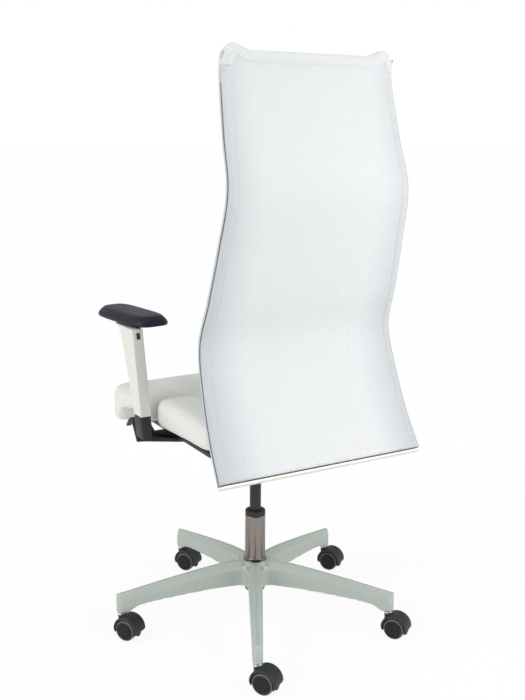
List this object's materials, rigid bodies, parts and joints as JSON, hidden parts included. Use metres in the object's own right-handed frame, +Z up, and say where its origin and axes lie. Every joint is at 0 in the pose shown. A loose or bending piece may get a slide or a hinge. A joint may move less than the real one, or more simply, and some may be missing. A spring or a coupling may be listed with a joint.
{
  "type": "swivel office chair",
  "caption": "High-backed swivel office chair with a mesh back, padded seat, adjustable arms, gas column and a star base on twin-wheel casters.",
  "frame": {"origin": "on the floor under the column's axis", "axes": "+Z up along the column; the sitter faces -Y; +X is the sitter's left"},
  "size_m": [0.7069, 0.7079, 1.352],
  "materials": {
    "base_paint": "satin",
    "chrome": "polished",
    "black_plastic": "matte",
    "black_metal": "satin",
    "zinc_steel": "satin",
    "spring_steel": "satin",
    "brass_pin": "satin",
    "white_leather": "satin",
    "frame_alloy": "satin",
    "white_mesh": "matte",
    "rail_plastic": "matte",
    "ivory_plastic": "satin",
    "black_pu": "satin",
    "hood_plastic": "satin",
    "wheel_tread": "satin"
  },
  "bodies": {
    "base": {"star_base": "base_paint", "column_tube": "chrome", "guide_bush": "black_plastic", "thrust_bearing": "zinc_steel"},
    "lift_rod": {"piston_rod": "zinc_steel", "rod_clip": "zinc_steel"},
    "mechanism": {"gas_cylinder": "black_metal", "mech_housing": "black_metal", "tilt_pin": "zinc_steel", "recline_pin": "zinc_steel", "tilt_spring": "spring_steel"},
    "valve": {"valve_pin": "brass_pin"},
    "knob": {"tension_knob": "black_plastic"},
    "height_lever": {"height_lever": "black_plastic"},
    "tilt_lever": {"tilt_lever": "black_plastic"},
    "seat": {"seat_plate": "black_metal", "seat_shell": "black_plastic", "seat_cushion": "white_leather", "seat_bolts": "zinc_steel", "arm_bracket_left": "black_metal", "arm_bracket_right": "black_metal", "arm_bolts": "zinc_steel"},
    "back": {"back_bar": "black_metal", "link_pin": "zinc_steel", "back_spacer": "black_plastic", "back_bolts": "zinc_steel", "back_frame": "frame_alloy", "back_mesh_rear": "white_mesh", "back_mesh_front": "white_mesh", "back_mesh_top": "white_mesh", "bottom_rail": "rail_plastic"},
    "left_arm": {"arm_sleeve_left": "ivory_plastic", "arm_pad_plate_left": "black_plastic", "arm_pad_left": "black_pu"},
    "left_button": {"arm_button_left": "black_plastic"},
    "right_arm": {"arm_sleeve_right": "ivory_plastic", "arm_pad_plate_right": "black_plastic", "arm_pad_right": "black_pu"},
    "right_button": {"arm_button_right": "black_plastic"},
    "caster_1": {"caster_hood_1": "hood_plastic", "caster_pins_1": "zinc_steel"},
    "left_wheel_1": {"wheel_left_1": "wheel_tread"},
    "right_wheel_1": {"wheel_right_1": "wheel_tread"},
    "caster_2": {"caster_hood_2": "hood_plastic", "caster_pins_2": "zinc_steel"},
    "left_wheel_2": {"wheel_left_2": "wheel_tread"},
    "right_wheel_2": {"wheel_right_2": "wheel_tread"},
    "caster_3": {"caster_hood_3": "hood_plastic", "caster_pins_3": "zinc_steel"},
    "left_wheel_3": {"wheel_left_3": "wheel_tread"},
    "right_wheel_3": {"wheel_right_3": "wheel_tread"},
    "caster_4": {"caster_hood_4": "hood_plastic", "caster_pins_4": "zinc_steel"},
    "left_wheel_4": {"wheel_left_4": "wheel_tread"},
    "right_wheel_4": {"wheel_right_4": "wheel_tread"},
    "caster_5": {"caster_hood_5": "hood_plastic", "caster_pins_5": "zinc_steel"},
    "left_wheel_5": {"wheel_left_5": "wheel_tread"},
    "right_wheel_5": {"wheel_right_5": "wheel_tread"}
  },
  "joints": [
    {"name": "seat_swivel", "type": "hinge", "parent": "base", "child": "lift_rod", "pos_m": [0, 0, 0.2], "axis": [0, 0, 1], "continuous": true},
    {"name": "seat_height", "type": "slide", "parent": "lift_rod", "child": "mechanism", "axis": [0, 0, 1], "range_m": [-0.11, 0]},
    {"name": "back_recline", "type": "hinge", "parent": "mechanism", "child": "back", "pos_m": [0, 0.04, 0.445], "axis": [-1, 0, 0], "range_deg": [0, 20], "stiffness_Nm_per_rad": 60, "springref_deg": -28.65},
    {"name": "seat_tilt", "type": "hinge", "parent": "mechanism", "child": "seat", "pos_m": [0, -0.115, 0.466], "axis": [-1, 0, 0], "range_deg": [0, 8]},
    {"name": "height_lever_lift", "type": "hinge", "parent": "mechanism", "child": "height_lever", "pos_m": [-0.06, -0.035, 0.4594], "axis": [-1, 0, 0], "range_deg": [0, 4.4], "stiffness_Nm_per_rad": 3, "springref_deg": -8.59},
    {"name": "valve_press", "type": "slide", "parent": "mechanism", "child": "valve", "axis": [0, 0, -1], "range_m": [0, 0.003]},
    {"name": "tilt_lever_turn", "type": "hinge", "parent": "mechanism", "child": "tilt_lever", "pos_m": [0.06, -0.035, 0.4594], "axis": [-1, 0, 0], "range_deg": [-8, 0]},
    {"name": "tension_knob_turn", "type": "hinge", "parent": "mechanism", "child": "knob", "pos_m": [0, -0.085, 0.416], "axis": [0, 0, 1], "range_deg": [-360, 360]},
    {"name": "left_arm_height", "type": "slide", "parent": "seat", "child": "left_arm", "axis": [0, -0.1994, 0.9799], "range_m": [0, 0.08]},
    {"name": "left_arm_button", "type": "slide", "parent": "left_arm", "child": "left_button", "axis": [0, -0.9799, -0.1994], "range_m": [0, 0.003], "stiffness_N_per_m": 400, "springref_m": -0.002},
    {"name": "right_arm_height", "type": "slide", "parent": "seat", "child": "right_arm", "axis": [0, -0.1994, 0.9799], "range_m": [0, 0.08]},
    {"name": "right_arm_button", "type": "slide", "parent": "right_arm", "child": "right_button", "axis": [0, -0.9799, -0.1994], "range_m": [0, 0.003], "stiffness_N_per_m": 400, "springref_m": -0.002},
    {"name": "caster_1_swivel", "type": "hinge", "parent": "base", "child": "caster_1", "pos_m": [0.16235, 0.29531, 0.07], "axis": [0, 0, 1], "continuous": true},
    {"name": "left_wheel_1_roll", "type": "hinge", "parent": "caster_1", "child": "left_wheel_1", "pos_m": [0.15104, 0.31301, 0.025], "axis": [-0.8425, -0.5388, 0], "continuous": true},
    {"name": "right_wheel_1_roll", "type": "hinge", "parent": "caster_1", "child": "right_wheel_1", "pos_m": [0.15104, 0.31301, 0.025], "axis": [-0.8425, -0.5388, 0], "continuous": true},
    {"name": "caster_2_swivel", "type": "hinge", "parent": "base", "child": "caster_2", "pos_m": [-0.23069, 0.24566, 0.07], "axis": [0, 0, 1], "continuous": true},
    {"name": "left_wheel_2_roll", "type": "hinge", "parent": "caster_2", "child": "left_wheel_2", "pos_m": [-0.24201, 0.26335, 0.025], "axis": [-0.8425, -0.5388, 0], "continuous": true},
    {"name": "right_wheel_2_roll", "type": "hinge", "parent": "caster_2", "child": "right_wheel_2", "pos_m": [-0.24201, 0.26335, 0.025], "axis": [-0.8425, -0.5388, 0], "continuous": true},
    {"name": "caster_3_swivel", "type": "hinge", "parent": "base", "child": "caster_3", "pos_m": [-0.30493, -0.14349, 0.07], "axis": [0, 0, 1], "continuous": true},
    {"name": "left_wheel_3_roll", "type": "hinge", "parent": "caster_3", "child": "left_wheel_3", "pos_m": [-0.31624, -0.1258, 0.025], "axis": [-0.8425, -0.5388, 0], "continuous": true},
    {"name": "right_wheel_3_roll", "type": "hinge", "parent": "caster_3", "child": "right_wheel_3", "pos_m": [-0.31624, -0.1258, 0.025], "axis": [-0.8425, -0.5388, 0], "continuous": true},
    {"name": "caster_4_swivel", "type": "hinge", "parent": "base", "child": "caster_4", "pos_m": [0.04224, -0.33434, 0.07], "axis": [0, 0, 1], "continuous": true},
    {"name": "left_wheel_4_roll", "type": "hinge", "parent": "caster_4", "child": "left_wheel_4", "pos_m": [0.03092, -0.31665, 0.025], "axis": [-0.8425, -0.5388, 0], "continuous": true},
    {"name": "right_wheel_4_roll", "type": "hinge", "parent": "caster_4", "child": "right_wheel_4", "pos_m": [0.03092, -0.31665, 0.025], "axis": [-0.8425, -0.5388, 0], "continuous": true},
    {"name": "caster_5_swivel", "type": "hinge", "parent": "base", "child": "caster_5", "pos_m": [0.33103, -0.06315, 0.07], "axis": [0, 0, 1], "continuous": true},
    {"name": "left_wheel_5_roll", "type": "hinge", "parent": "caster_5", "child": "left_wheel_5", "pos_m": [0.31972, -0.04546, 0.025], "axis": [-0.8425, -0.5388, 0], "continuous": true},
    {"name": "right_wheel_5_roll", "type": "hinge", "parent": "caster_5", "child": "right_wheel_5", "pos_m": [0.31972, -0.04546, 0.025], "axis": [-0.8425, -0.5388, 0], "continuous": true}
  ],
  "couplings": [
    {"joint": "seat_tilt", "follows": "back_recline", "ratio": 0.4},
    {"joint": "valve_press", "follows": "height_lever_lift", "m_per_rad": 0.035}
  ]
}
